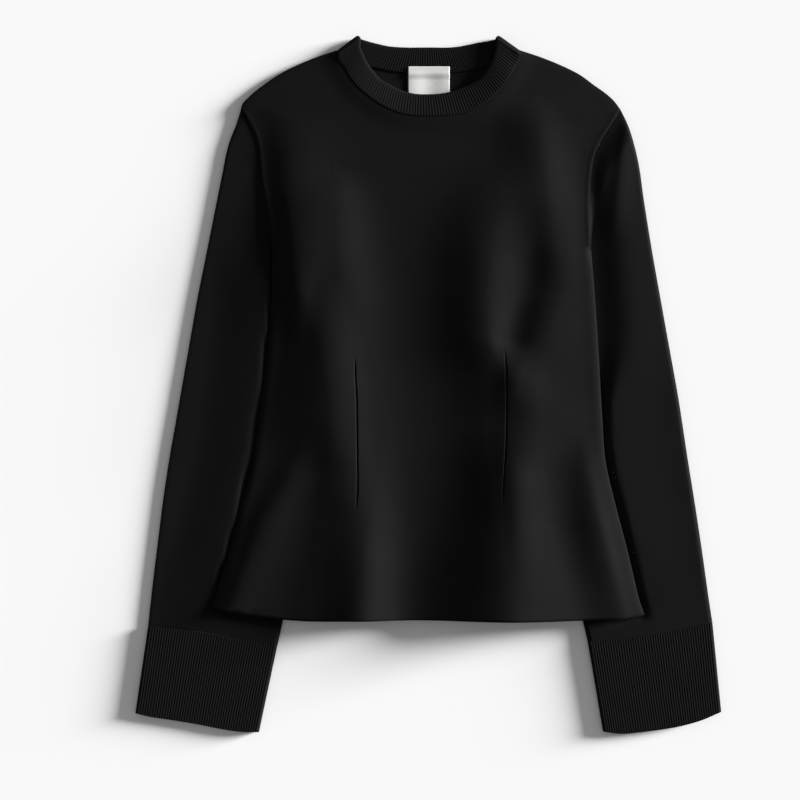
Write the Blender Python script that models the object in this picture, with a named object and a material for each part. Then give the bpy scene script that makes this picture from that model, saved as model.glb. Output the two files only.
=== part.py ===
"""Long-sleeved peplum top, laid flat with its front up and its sleeves tucked under the body."""
import bmesh
import bpy
import numpy as np

# Sizes are in millimetres, and plan points run right and down on a square 800 mm wide
centre_x = 428.3
centre_y = 384.86
wall = 1.6
cuff_wall = 2.0
band_wall = 3.0
label_wall = 0.7
layer_gap = 0.4
seam_gap = 0.35

# Rounded edges, where a layer turns over into the one below
side_roll = 8.0
fold_roll = 5.0
half_roll = 3.5
shoulder_seam = 4.65
shoulder_seam_reach = 20.0
edge_lift = 2.2
on_edge = 0.05
crown = 3.0
crown_reach = 30.0
fold_fade = 30.0
fold_edge_share = 0.25
neck_lift = 1.6
neck_lift_reach = 12.0

# Sleeves: height under the body, height beside it, and how the back panel rises over them
sleeve_under = 3.8
sleeve_beside = 6.6
sleeve_puff_start = 8.0
sleeve_puff_reach = 14.0
outer_fold_mid = 3.2
inner_fold_mid = 2.0
lift_height = 4.6
lift_start = 12.0
lift_ramp = 50.0
lift_top = 240.0
lift_run = 32.0
front_lift_top = 150.0
front_lift_run = 122.0

# Sleeves: shares of their length where they start to bend to the armhole and to meet the body, and cuff end
sleeve_bend_start = 0.65
sleeve_join_start = 0.78
sleeve_join_slant = 0.16
cuff_end_share = 0.17

# Ribs
rib_height = 0.5
cuff_ribs = 48
cuff_height = 6.6

# Darts
dart_half = 2.2
dart_depth = 2.2

# Label
label_left = 408.2
label_right = 449.6
label_top = 66.5
label_length = 34.0
label_clearance = 0.35
label_step = 80.0
label_step_run = 7.0

# Outline of the body, x and y
side_left = [(211, 606), (214, 600), (222, 575), (230, 550), (243, 500), (251, 470), (259, 420),
             (266, 370), (270, 330), (272, 290), (272, 250)]
side_right = [(644, 614.5), (639, 600), (633, 575), (627, 550), (614, 500), (605, 460), (602, 420),
              (598, 350), (594, 290), (592, 265), (591, 250)]
armhole_left = [(272, 250), (270, 225), (265, 200), (261, 180), (259, 160), (256, 140), (250.5, 127),
                (245, 117.5), (240.5, 111)]
armhole_right = [(591, 250), (590, 220), (590, 195), (592, 170), (595, 155), (601, 142), (609, 129),
                 (616, 118), (620.7, 110)]
shoulder_left = [(240.5, 111), (242, 105), (250, 96), (265, 84), (280, 74), (300, 64), (320, 56), (338, 50)]
shoulder_right = [(519, 50), (540, 57), (560, 65), (580, 75), (595, 86), (605, 93), (613, 100), (620.7, 110)]
hem = [(211, 606), (222, 610), (240, 614), (260, 616), (280, 618.5), (300, 620), (360, 619.7), (440, 619.5),
       (480, 620), (560, 620), (600, 619), (620, 618.5), (635, 616), (644, 614.5)]
front_neck_left = [(338, 50), (340, 60), (345, 70), (352, 81), (360, 90), (370, 98), (380, 105), (390, 110),
                   (400, 114), (414, 116.5), (430, 117)]
front_neck_right = [(430, 117), (450, 116), (470, 112), (480, 107), (490, 100), (500, 90), (508, 80),
                    (514, 70), (518, 60), (519, 50)]
back_neck_left = [(338, 50), (342.5, 56), (351, 61.5), (362, 65), (374, 67.5), (390, 71), (410, 73), (430, 73.5)]
back_neck_right = [(430, 73.5), (450, 73), (470, 70.5), (486, 67.5), (498, 64.5), (508, 60.5),
                   (515, 56), (519, 50)]
hem_back_rise = 1.5
neck_corner = 6.0

# Lines down the front that its darts and largest folds follow, x and y
guide_left = [(356, 620), (356, 560), (356, 507), (358, 480), (357.5, 440), (357, 400), (355.5, 372),
              (352, 350), (340, 310), (334, 260), (331, 200), (328, 140), (330, 95), (338, 50)]
guide_middle = [(431, 620), (431, 500), (429, 360), (427, 270), (428, 200), (430, 117)]
guide_right = [(503, 620), (502.5, 560), (502, 500), (505, 460), (506.5, 420), (506, 380), (504, 352),
               (494, 320), (486, 280), (485, 220), (492, 175), (508, 130), (520, 90), (519, 50)]

# Share of the way from hem to shoulder, and the y of each of the five lines down the body there
level_rows = [
    (0.00, 606.0, 619.8, 619.5, 620.0, 614.5),
    (0.25, 492.0, 503.0, 503.0, 500.0, 492.0),
    (0.50, 345.0, 357.0, 355.0, 352.0, 345.0),
    (0.68, 250.0, 262.0, 275.0, 262.0, 250.0),
]
pit_share = 0.68
hem_share = 0.25
lower_shares = [0.0, 0.05, 0.1, 0.15, 0.2, 0.25, 0.3, 0.35, 0.4, 0.46, 0.52, 0.58, 0.63, 0.655]
back_shares = [0.0, 0.1, 0.2, 0.3, 0.4, 0.52, 0.58, 0.63, 0.655]
armhole_steps = [0.0, 0.67, 2.5, 5.0, 9.0, 14.0, 20.0, 28.0, 42.0, 60.0, 82.0, 106.0]
armhole_steps_end = 128.0
pit_steps = [5.0, 2.5, 0.67, 0.0]
side_steps = [0.0, 1.1, 4.0, 8.0]
cuff_fold_steps = [0.0, 0.67, 2.5]

# Folds of the front: y, x, height, reach to the left, reach to the right
front_folds = [
    [(170, 336, 0, 24, 20), (200, 335, 5, 34, 25), (250, 336, 8.5, 40, 30), (300, 339, 8.5, 38, 34),
     (340, 339, 8, 38, 36), (380, 338, 8, 44, 42), (420, 342, 7.5, 48, 46), (470, 358, 7.5, 34, 31),
     (520, 363, 11, 34, 29), (560, 362, 14, 38, 31), (600, 361, 15.5, 41, 33), (622, 361, 17, 43, 34)],
    [(150, 500, 0, 30, 26), (200, 496, 6, 46, 34), (250, 487, 9.6, 42, 32), (300, 484, 10.4, 39, 29),
     (340, 486, 11, 40, 23), (375, 500, 9, 44, 30), (420, 506, 7.5, 46, 54), (470, 509, 12.5, 41, 28),
     (520, 511, 14.8, 48, 30), (560, 511, 18.5, 60, 38), (600, 511, 20.5, 69, 46), (622, 511, 21.5, 73, 48)],
    [(230, 560, 0, 16, 18), (260, 555, 1.8, 20, 24), (300, 547, 3.2, 22, 30), (340, 534, 4, 20, 34),
     (380, 518, 3.4, 17, 38), (410, 510, 0, 16, 40)],
    [(115, 288, 0, 22, 40), (150, 291, 2.6, 24, 40), (200, 293, 4, 25, 38), (250, 296, 4, 22, 30),
     (290, 297, 3, 18, 14), (330, 297, 1.2, 15, 12), (350, 296, 0, 14, 12)],
    [(95, 528, 0, 34, 20), (125, 536, 4, 34, 22), (160, 540, 6, 34, 22), (205, 545, 6, 30, 24),
     (250, 550, 4, 26, 22), (290, 552, 0, 20, 20)],
    [(430, 308, 0, 12, 14), (480, 290, 2, 14, 20), (520, 266, 3, 18, 24), (570, 244, 3, 18, 26),
     (612, 228, 3, 18, 24)],
    [(430, 588, 0, 14, 12), (470, 590, 3, 18, 14), (520, 598, 5, 22, 16), (560, 608, 5, 26, 16),
     (600, 618, 3.5, 26, 16), (620, 624, 3, 26, 16)],
]
# Darts: y, x, share of the full depth
dart_left = [(357, 355, 0), (372, 355.5, 0.9), (400, 357, 1), (440, 357.5, 1), (480, 358, 0.9), (500, 357, 0.5),
             (507, 356, 0)]
dart_right = [(350, 504, 0), (366, 505.5, 0.9), (400, 506.2, 1), (440, 505.8, 1), (475, 503.5, 0.9),
              (492, 502.2, 0.5), (500, 502, 0)]
# Folds of the sleeves, in the same columns as those of the front
sleeve_folds = [
    [(125, 242, 0, 6, 7), (155, 245, 1.3, 6, 7), (200, 248, 1.5, 6, 7), (240, 251, 0.8, 6, 7), (262, 252, 0, 6, 7)],
]

# Sleeves: outer edge from the cuff to the shoulder tip, and the hidden edge from the cuff to the armpit
sleeve_outer_left = [(148, 626), (153, 580), (158, 540), (163, 500), (169, 460), (176, 420), (183, 380),
                     (190, 340), (197, 300), (205, 260), (213, 220), (221, 180), (230, 140), (236, 125), (240.5, 111)]
sleeve_inner_left = [(277.8, 643.5), (283, 620), (290, 590), (301, 540), (311, 480), (316, 430), (313, 385),
                     (302, 340), (287, 304), (276, 285), (271.2, 272), (271.4, 262), (272, 250)]
sleeve_outer_right = [(712.5, 622.5), (709, 600), (702, 550), (696, 510), (688, 460), (678, 395), (669, 345),
                      (660, 295), (652, 250), (644, 200), (638, 160), (633, 140), (628, 125), (620.7, 110)]
sleeve_inner_right = [(587.6, 641), (583, 621), (576, 590), (565, 540), (555, 480), (550, 430), (552, 385),
                      (562, 340), (576, 306), (588, 286), (593.6, 272), (593, 262), (591, 250)]
cuff_seam_left = [(148, 626), (175, 628.5), (200, 631.5), (220, 635), (240, 639.5), (277.8, 643.5)]
cuff_seam_right = [(712.5, 622.5), (680, 630), (640, 636), (610, 639.5), (587.6, 641)]
cuff_outer_left = [(135.3, 713), (138, 700), (140, 680), (142, 660), (145, 640), (148, 626)]
cuff_inner_left = [(259, 732), (262, 710), (266, 695), (269, 680), (273, 665), (276.3, 650), (277.8, 643.5)]
cuff_end_left = [(135.3, 713), (150, 716.5), (170, 719.5), (200, 724.5), (220, 728.5), (240, 731.5), (259, 732)]
cuff_outer_right = [(721.3, 711.5), (720, 700), (718, 680), (716, 660), (714, 640), (712.5, 622.5)]
cuff_inner_right = [(603, 731.5), (602, 720), (599, 700), (595, 680), (591, 660), (587.6, 641)]
cuff_end_right = [(721.3, 711.5), (700, 720.5), (680, 726), (660, 729.5), (640, 732), (620, 733.5), (603, 731.5)]
sleeve_shares = [0.0, 0.08, 0.17, 0.26, 0.35, 0.44, 0.53, 0.62, 0.7, 0.78, 0.85, 0.91, 0.96, 1.0]

# Neckband: inner edges, and the peaks where it turns over at the shoulders
peak_left = (358, 35)
peak_right = (498, 35)
band_front_edge = [(360.5, 48), (364, 56), (368, 64), (374, 72), (380, 79), (390, 85), (400, 90), (412, 93.5),
                   (430, 94.5), (448, 92.5), (460, 88.5), (470, 84), (480, 78), (488, 68), (493, 57), (495.2, 48)]
band_back_edge = [(370, 41.5), (380, 44), (390, 46), (400, 46.8), (430, 47), (450, 47), (460, 46), (470, 44),
                  (480, 42), (487, 41)]
band_turn_radius = 3.15
band_front_ribs = 82
band_back_ribs = 66
band_turn_ribs = 4
band_edge_height = 6.4
band_edge_round = 0.1
band_edge_half = 0.85
band_corner_share = 0.06
band_middle_share = 0.4

cloth_black = (0.011, 0.011, 0.0125, 1.0)
rib_black = (0.009, 0.009, 0.0105, 1.0)
label_white = (0.78, 0.77, 0.75, 1.0)


def smooth_line(points, steps=16):
    """Dense smooth line through the points."""
    knots = np.array(points, float)
    length = np.concatenate([[0.0], np.cumsum(np.hypot(*np.diff(knots, axis=0).T))])
    slope = np.gradient(knots, length, axis=0)
    pieces = []
    for i in range(len(knots) - 1):
        step = length[i + 1] - length[i]
        t = np.linspace(0.0, 1.0, steps, endpoint=False)[:, None]
        pieces.append((1 + 2 * t) * (1 - t) ** 2 * knots[i] + t * (1 - t) ** 2 * step * slope[i]
                      + t * t * (3 - 2 * t) * knots[i + 1] + t * t * (t - 1) * step * slope[i + 1])
    pieces.append(knots[-1:])
    return np.concatenate(pieces)


def running_length(line):
    return np.concatenate([[0.0], np.cumsum(np.hypot(*np.diff(line, axis=0).T))])


def along(line, distance):
    """Points at distances along a line."""
    length = running_length(line)
    return np.stack([np.interp(distance, length, line[:, 0]), np.interp(distance, length, line[:, 1])], axis=-1)


def x_at(line, y):
    order = np.argsort(line[:, 1])
    return np.interp(y, line[order, 1], line[order, 0])


def y_at(line, x):
    order = np.argsort(line[:, 0])
    return np.interp(x, line[order, 0], line[order, 1])


def distance_to(line, x, y):
    """Shortest distance from each plan point to a line."""
    best = np.full(np.shape(x), 1e9)
    for a, b in zip(line[:-1], line[1:]):
        run = b - a
        t = np.clip(((x - a[0]) * run[0] + (y - a[1]) * run[1]) / (run @ run), 0.0, 1.0)
        best = np.minimum(best, np.hypot(x - a[0] - t * run[0], y - a[1] - t * run[1]))
    return best


def ease(t):
    t = np.clip(t, 0.0, 1.0)
    return t * t * (3 - 2 * t)


def turned(distance, reach):
    """Height share of a rounded edge: 0 at the edge, 1 where the layer lies flat."""
    t = 1 - np.clip(distance / reach, 0.0, 1.0)
    return np.where(distance < on_edge, 0.0, np.sqrt(np.maximum(0.0, 1 - t * t)))


side_lines = [smooth_line(side_left), smooth_line(side_right)]
armhole_lines = [smooth_line(armhole_left), smooth_line(armhole_right)]
shoulder_lines = [smooth_line(shoulder_left), smooth_line(shoulder_right)]
hem_line = smooth_line(hem)
guides = [smooth_line(guide_left), smooth_line(guide_middle), smooth_line(guide_right)]
hidden_lines = [smooth_line(sleeve_inner_left), smooth_line(sleeve_inner_right)]
front_neck = [smooth_line(front_neck_left), smooth_line(front_neck_right)]
back_neck = [smooth_line(back_neck_left), smooth_line(back_neck_right)]


def lift(x, y, top=lift_top, run=lift_run):
    """Height of the back panel's underside, which rises over the tucked sleeves."""
    left = x_at(hidden_lines[0], y) + lift_start + lift_ramp
    right = x_at(hidden_lines[1], y) - lift_start - lift_ramp
    side = np.maximum(ease((left - x) / lift_ramp), ease((x - right) / lift_ramp))
    return lift_height * side * ease((y - top) / run)


def fold_height(folds, x, y):
    total = np.zeros(np.shape(x))
    for rows in folds:
        table = np.array(rows, float)
        at, height, left, right = [np.interp(y, table[:, 0], table[:, k]) for k in range(1, 5)]
        height = np.where((y < table[0, 0]) | (y > table[-1, 0]), 0.0, height)
        reach = np.where(x < at, left, right)
        total += height * np.exp(-((x - at) / reach) ** 2)
    return total


def dart_drop(x, y):
    total = np.zeros(np.shape(x))
    for rows in (dart_left, dart_right):
        table = np.array(rows, float)
        at, share = [np.interp(y, table[:, 0], table[:, k]) for k in (1, 2)]
        total += dart_depth * share * np.maximum(0.0, 1 - np.abs(x - at) / dart_half)
    return total


def seam_height(x, y):
    """Height of the seam between front and back at the body's edge."""
    shoulder = np.minimum(distance_to(shoulder_lines[0], x, y), distance_to(shoulder_lines[1], x, y))
    return half_roll + lift(x, y) + (shoulder_seam - half_roll) * np.exp(-(shoulder / shoulder_seam_reach) ** 2)


def body_edge(x, y, side_reach):
    """Height share of the body's rounded side and shoulder edges."""
    share = np.ones(np.shape(x))
    for line in side_lines:
        share = np.minimum(share, turned(distance_to(line, x, y), side_reach))
    for line in shoulder_lines:
        share = np.minimum(share, turned(distance_to(line, x, y), fold_roll))
    return share


def front_height(x, y):
    """Height of the front panel's outer face."""
    outline = np.full(np.shape(x), 1e9)
    for line in side_lines + armhole_lines + shoulder_lines:
        outline = np.minimum(outline, distance_to(line, x, y))
    neck = np.minimum(distance_to(front_neck[0], x, y), distance_to(front_neck[1], x, y))
    top = lift(x, y, front_lift_top, front_lift_run) + 2 * wall + layer_gap
    top += edge_lift + crown * (1 - np.exp(-(outline / crown_reach) ** 2))
    top += neck_lift * np.exp(-(neck / neck_lift_reach) ** 2)
    top += fold_height(front_folds, x, y) * ease(outline / fold_fade + fold_edge_share) - dart_drop(x, y)
    seam = seam_height(x, y)
    return np.maximum(seam + (top - seam) * body_edge(x, y, side_roll), seam + seam_gap / 2)


def back_height(x, y):
    """Height of the back panel's underside."""
    seam = seam_height(x, y)
    low = lift(x, y)
    return np.minimum(seam - (seam - low) * body_edge(x, y, side_roll), seam - seam_gap / 2)


def armhole_distances(line):
    """Distances from the shoulder tip along an armhole at which every panel and sleeve has a point."""
    length = running_length(line)[-1]
    steps = np.array(armhole_steps)
    reach = length - pit_steps[0]
    inner = steps[4:] * reach / armhole_steps_end
    return np.concatenate([steps[:4], inner, length - np.array(pit_steps)])


def armhole_points(side):
    line = armhole_lines[side][::-1]
    return along(line, armhole_distances(line))


def spread(width, start, end, count):
    """Distances across a strip: fixed ones at its start and end, and even ones between."""
    inner = np.linspace(0.0, 1.0, count + 1)[None, :]
    first = np.repeat(np.array(start, float)[None, :], len(width), axis=0)
    last = width[:, None] - np.array(end, float)[None, :]
    middle = first[:, -1:] + (last[:, :1] - first[:, -1:]) * inner
    return np.concatenate([first[:, :-1], middle, last[:, 1:]], axis=1)


def panel_plan(shares, counts, starts, ends, neck, hem_rise):
    """Plan points of a body panel, rows from hem to shoulder and columns from left to right."""
    tips = [armhole_points(0)[::-1], armhole_points(1)[::-1]]
    table = np.array(level_rows)
    shares = np.array(shares)
    lengths = armhole_distances(armhole_lines[0][::-1])
    upper = pit_share + (1 - pit_share) * (1 - lengths[::-1] / lengths[-1])
    level = np.concatenate([shares, upper])
    tops = [tips[0][-1, 1], neck[0][0, 1], neck[0][-1, 1], neck[1][-1, 1], tips[1][-1, 1]]
    lines = [side_lines[0]] + guides + [side_lines[1]]
    corners = []
    for k in range(5):
        low = np.interp(shares, table[:, 0], table[:, k + 1])
        high = np.interp(upper, [pit_share, 1.0], [table[-1, k + 1], tops[k]])
        line = lines[k]
        points = np.stack([x_at(line, np.concatenate([low, high])), np.concatenate([low, high])], axis=-1)
        if k in (0, 4):
            points[len(shares):] = tips[k // 4]
        corners.append(points)
    tip_weight = np.clip((level - pit_share) / (1 - pit_share), 0.0, 1.0)[:, None] ** 1.5
    hem_weight = np.clip(1 - level / hem_share, 0.0, 1.0)[:, None] ** 2
    top_lines = [shoulder_lines[0], neck[0], neck[1], shoulder_lines[1]]
    strips = []
    for k in range(4):
        a, b = corners[k], corners[k + 1]
        width = np.hypot(*(b - a).T)
        reach = spread(width, starts[k], ends[k], counts[k])
        share = (reach / width[:, None])[:, :, None]
        plan = a[:, None, :] * (1 - share) + b[:, None, :] * share
        flat = plan[-1]
        if k in (0, 3):
            top = np.stack([flat[:, 0], y_at(top_lines[k], flat[:, 0])], axis=-1)
        else:
            top = along(top_lines[k], share[-1, :, 0] * running_length(top_lines[k])[-1])
        plan = plan + tip_weight[:, :, None] * (top - flat)[None]
        low = plan[0]
        plan[:, :, 1] += hem_weight * (y_at(hem_line, low[:, 0]) - low[:, 1])[None]
        plan[:, :, 1] -= hem_weight * hem_rise
        strips.append(plan if k == 3 else plan[:, :-1])
    return np.concatenate(strips, axis=1)


def to_frame(points):
    """Plan millimetres and heights to metres in the part's own frame."""
    moved = np.array(points, float)
    moved[..., 0] -= centre_x
    moved[..., 1] = centre_y - moved[..., 1]
    return moved * 0.001


def grid_mesh(points):
    """Bmesh of a grid of quads with its vertices at the points."""
    rows, columns = points.shape[:2]
    mesh = bmesh.new()
    bmesh.ops.create_grid(mesh, x_segments=columns - 1, y_segments=rows - 1, size=1.0)
    mesh.verts.ensure_lookup_table()
    spots = [(vertex, round((vertex.co.y + 1) * (rows - 1) / 2), round((vertex.co.x + 1) * (columns - 1) / 2))
             for vertex in mesh.verts]
    for vertex, row, column in spots:
        vertex.co = points[row, column]
    return mesh


def material(name, colour, roughness):
    surface = bpy.data.materials.new(name)
    surface.use_nodes = True
    shader = surface.node_tree.nodes["Principled BSDF"]
    shader.inputs["Base Color"].default_value = colour
    shader.inputs["Roughness"].default_value = roughness
    shader.inputs["Metallic"].default_value = 0.0
    surface.diffuse_color = colour
    return surface


def finish(name, mesh, surface):
    """Object from a closed bmesh."""
    bmesh.ops.remove_doubles(mesh, verts=mesh.verts, dist=1e-6)
    bmesh.ops.recalc_face_normals(mesh, faces=mesh.faces)
    data = bpy.data.meshes.new(name)
    mesh.to_mesh(data)
    mesh.free()
    data.materials.append(surface)
    data.shade_smooth()
    piece = bpy.data.objects.new(name, data)
    bpy.context.scene.collection.objects.link(piece)
    return piece


def thicken(mesh, thickness, outward):
    """Give a sheet its wall, on the side away from the outward direction at its first face."""
    bmesh.ops.remove_doubles(mesh, verts=mesh.verts, dist=1e-6)
    mesh.normal_update()
    mesh.faces.ensure_lookup_table()
    if outward(mesh) < 0:
        bmesh.ops.reverse_faces(mesh, faces=mesh.faces)
        mesh.normal_update()
    bmesh.ops.solidify(mesh, geom=mesh.faces[:] + mesh.edges[:] + mesh.verts[:], thickness=thickness * 0.001)


def close_seam(mesh, sign):
    """Keep a panel's rim on its own side of the seam: sign is 1 above it and -1 below."""
    spots = np.array([vertex.co for vertex in mesh.verts]) * 1000.0
    x, y = spots[:, 0] + centre_x, centre_y - spots[:, 1]
    edge = np.full(len(x), 1e9)
    for line in side_lines + shoulder_lines:
        edge = np.minimum(edge, distance_to(line, x, y))
    limit = seam_height(x, y) + sign * seam_gap / 2
    beyond = (edge < 2.0 * wall) & (sign * spots[:, 2] < sign * limit)
    for vertex, height in zip([v for v, out in zip(mesh.verts, beyond) if out], limit[beyond]):
        vertex.co.z = height * 0.001


def build_panels():
    dart = [dart_half, 0.0]
    front_rows = panel_plan(lower_shares, [7, 8, 8, 7], [side_steps, dart[::-1], dart[::-1], dart[::-1]],
                            [dart, dart, dart, side_steps[::-1]], front_neck, 0.0)
    height = front_height(front_rows[..., 0], front_rows[..., 1])
    front = grid_mesh(to_frame(np.dstack([front_rows, height])))
    thicken(front, wall, lambda mesh: sum(face.normal.z for face in mesh.faces))
    close_seam(front, 1)
    finish("front_panel", front, material("front_panel", cloth_black, 0.85))
    back_rows = panel_plan(back_shares, [5, 4, 4, 5], [side_steps, [0.0, neck_corner], [0.0], [0.0]],
                           [[0.0], [0.0], [neck_corner, 0.0], side_steps[::-1]], back_neck, hem_back_rise)
    height = back_height(back_rows[..., 0], back_rows[..., 1])
    back = grid_mesh(to_frame(np.dstack([back_rows, height])))
    thicken(back, wall, lambda mesh: -sum(face.normal.z for face in mesh.faces))
    close_seam(back, -1)
    finish("back_panel", back, material("back_panel", cloth_black, 0.85))
    return front_rows[-1], back_rows[-1]


def tube_mesh(outer_rings, inner_rings):
    """Closed wall of a flattened tube from its rings outside and inside."""
    rings = np.array(outer_rings + inner_rings[::-1] + outer_rings[:1])
    return grid_mesh(to_frame(rings))


def ring(top_plan, top, low_plan, low):
    """One ring: over the top from the outer fold to the inner one, and back under it."""
    upper = np.column_stack([top_plan, top])
    lower = np.column_stack([low_plan, low])
    return np.concatenate([upper, lower[-2:0:-1], upper[:1]])


def fold_inset(reach, width, thickness):
    """Distance along a ring of the wall's inner face, which sits one wall inside each fold."""
    near = thickness * np.maximum(0.0, 1 - reach / fold_roll)
    far = thickness * np.maximum(0.0, 1 - (width - reach) / fold_roll)
    return reach + near - far


def sleeve_top(x, y, side):
    """Height of a sleeve's upper face: low under the body, higher beside it."""
    line = side_lines[side]
    beyond = (x_at(line, y) - x) if side == 0 else (x - x_at(line, y))
    clear = np.where(beyond > 0, distance_to(line, x, y), 0.0)
    rise = 1 - np.exp(-(np.maximum(0.0, clear - sleeve_puff_start) / sleeve_puff_reach) ** 2)
    return sleeve_under + (sleeve_beside - sleeve_under) * rise + fold_height(sleeve_folds, x, y)


def build_sleeve(name, side, outer, inner, cuff_seam):
    outer, inner, cuff_seam = smooth_line(outer), smooth_line(inner), smooth_line(cuff_seam)
    arm = armhole_points(side)
    steps = armhole_distances(armhole_lines[side][::-1])
    run = np.gradient(arm, steps, axis=0)
    away = np.stack([-run[:, 1], run[:, 0]], axis=-1) * (1 if side == 0 else -1)
    arm_top = front_height(arm[:, 0], arm[:, 1])
    arm_low = back_height(arm[:, 0], arm[:, 1])
    for end in (0, -1):
        arm_top[end] = arm_low[end] = (arm_top[end] + arm_low[end]) / 2
    outer_rings, inner_rings = [], []
    for share in sleeve_shares:
        a = along(outer, share * running_length(outer)[-1])
        b = along(inner, share * running_length(inner)[-1])
        width = np.hypot(*(b - a))
        inside = steps[3] + (steps - steps[3]) * (width - 2 * steps[3]) / (steps[-1] - 2 * steps[3])
        reach = np.where(steps < steps[3], steps, np.where(steps > steps[-4], width - (steps[-1] - steps), inside))
        chord = arm[0] + (arm[-1] - arm[0]) * (steps / steps[-1])[:, None]
        bent = max(0.0, (share - sleeve_bend_start) / (1 - sleeve_bend_start)) ** 2
        bend = (arm - chord) * bent + away * seam_gap * (share == 1.0)
        turn = np.minimum(turned(reach, fold_roll), turned(width - reach, fold_roll))
        mid = outer_fold_mid + (inner_fold_mid - outer_fold_mid) * reach / width
        late = sleeve_join_start + sleeve_join_slant * steps / steps[-1]
        near = ease((share - late) / (1 - late))
        cuff_near = max(0.0, 1 - share / cuff_end_share) ** 2
        plans = []
        for place in (reach, fold_inset(reach, width, wall)):
            straight = a + (b - a) * (place / width)[:, None]
            low_end = along(cuff_seam, place / width * running_length(cuff_seam)[-1])
            plans.append(straight + bend + (low_end - straight) * cuff_near)
        top = mid + (sleeve_top(plans[0][:, 0], plans[0][:, 1], side) - mid) * turn
        low = mid - mid * turn
        top = top + (arm_top - top) * near
        low = low + (arm_low - low) * near
        outer_rings.append(ring(plans[0], top, plans[0], low))
        inner_rings.append(ring(plans[1], top - wall * turn, plans[1], low + wall * turn))
    tube = tube_mesh(outer_rings, inner_rings)
    finish(name, tube, material(name, cloth_black, 0.85))


def build_cuff(name, outer, inner, seam, end):
    outer, inner, seam, end = [smooth_line(line) for line in (outer, inner, seam, end)]
    outer_rings, inner_rings = [], []
    fold = cuff_fold_steps
    for share in (0.0, 0.5, 1.0):
        a = along(outer, share * running_length(outer)[-1])
        b = along(inner, share * running_length(inner)[-1])
        width = np.hypot(*(b - a))
        faces = []
        for count, height in ((2 * cuff_ribs, cuff_height), (8, 0.0)):
            flat = np.linspace(fold_roll, width - fold_roll, count + 1)
            reach = np.concatenate([fold, flat, width - np.array(fold[::-1])])
            turn = np.minimum(turned(reach, fold_roll), turned(width - reach, fold_roll))
            mid = outer_fold_mid + (inner_fold_mid - outer_fold_mid) * reach / width * (share == 1.0)
            rib = np.zeros(len(reach))
            if height:
                rib[len(fold) + 1:-len(fold) - 1:2] = rib_height
            face = mid + (height - mid) * turn
            for place in (reach, fold_inset(reach, width, cuff_wall)):
                high = along(seam, place / width * running_length(seam)[-1])
                foot = along(end, place / width * running_length(end)[-1])
                plan = foot + (high - foot) * share
                plan[:, 1] += seam_gap * (share == 1.0)
                faces.append(plan)
            faces.append(face - rib)
            faces.append(face - cuff_wall * turn * (1 if height else -1))
        outer_rings.append(ring(faces[0], faces[2], faces[4], faces[6]))
        inner_rings.append(ring(faces[1], faces[3], faces[5], faces[7]))
    tube = tube_mesh(outer_rings, inner_rings)
    finish(name, tube, material(name, rib_black, 0.9))


def band_run(seam, edge, count):
    """Seam and edge points of one side of the neckband, from the left shoulder to the right."""
    share = np.linspace(0.0, 1.0, count + 1)
    return along(seam, share * running_length(seam)[-1]), along(edge, share * running_length(edge)[-1])


def band_turn(seam, peak, side):
    """Middle of the turn at a shoulder: its seam end, its peak end and its outward direction."""
    seam, peak = np.array(seam, float), np.array(peak, float)
    run = (peak - seam) / np.hypot(*(peak - seam))
    out = np.array([run[1], -run[0]]) * (1 if side == 0 else -1)
    inset = band_turn_radius + band_wall / 2
    return seam - out * inset, peak - out * inset, out


def band_profile(seam, edge, mid_seam, mid_edge, across, phase, faces):
    """Five points round the band's thickness at one station, with ribs on the faces that have them."""
    rib = rib_height / 2 * (1 if phase else -1)
    ring = []
    for share, half, face in ((0.0, 1.0, 1), (1 - band_edge_round, band_edge_half, 1), (1.0, 0.0, 0),
                              (1 - band_edge_round, band_edge_half, -1), (0.0, 1.0, -1)):
        plan = seam + (edge - seam) * share
        mid = mid_seam + (mid_edge - mid_seam) * share
        reach = half * band_wall / 2
        if face and faces[0 if face > 0 else 1]:
            reach += rib
        ring.append([plan[0] + across[0] * reach * face, plan[1] + across[1] * reach * face,
                     mid + across[2] * reach * face])
    return ring


def neck_run(top_row, turns):
    """The neckband's seam along a panel's neckline, between the turns at the shoulders."""
    first = np.argmin(np.hypot(*(top_row - np.array(front_neck_left[0])).T))
    last = np.argmin(np.hypot(*(top_row - np.array(front_neck_right[-1])).T))
    return np.concatenate([turns[0][0][None], top_row[first + 1:last], turns[1][0][None]])


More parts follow.
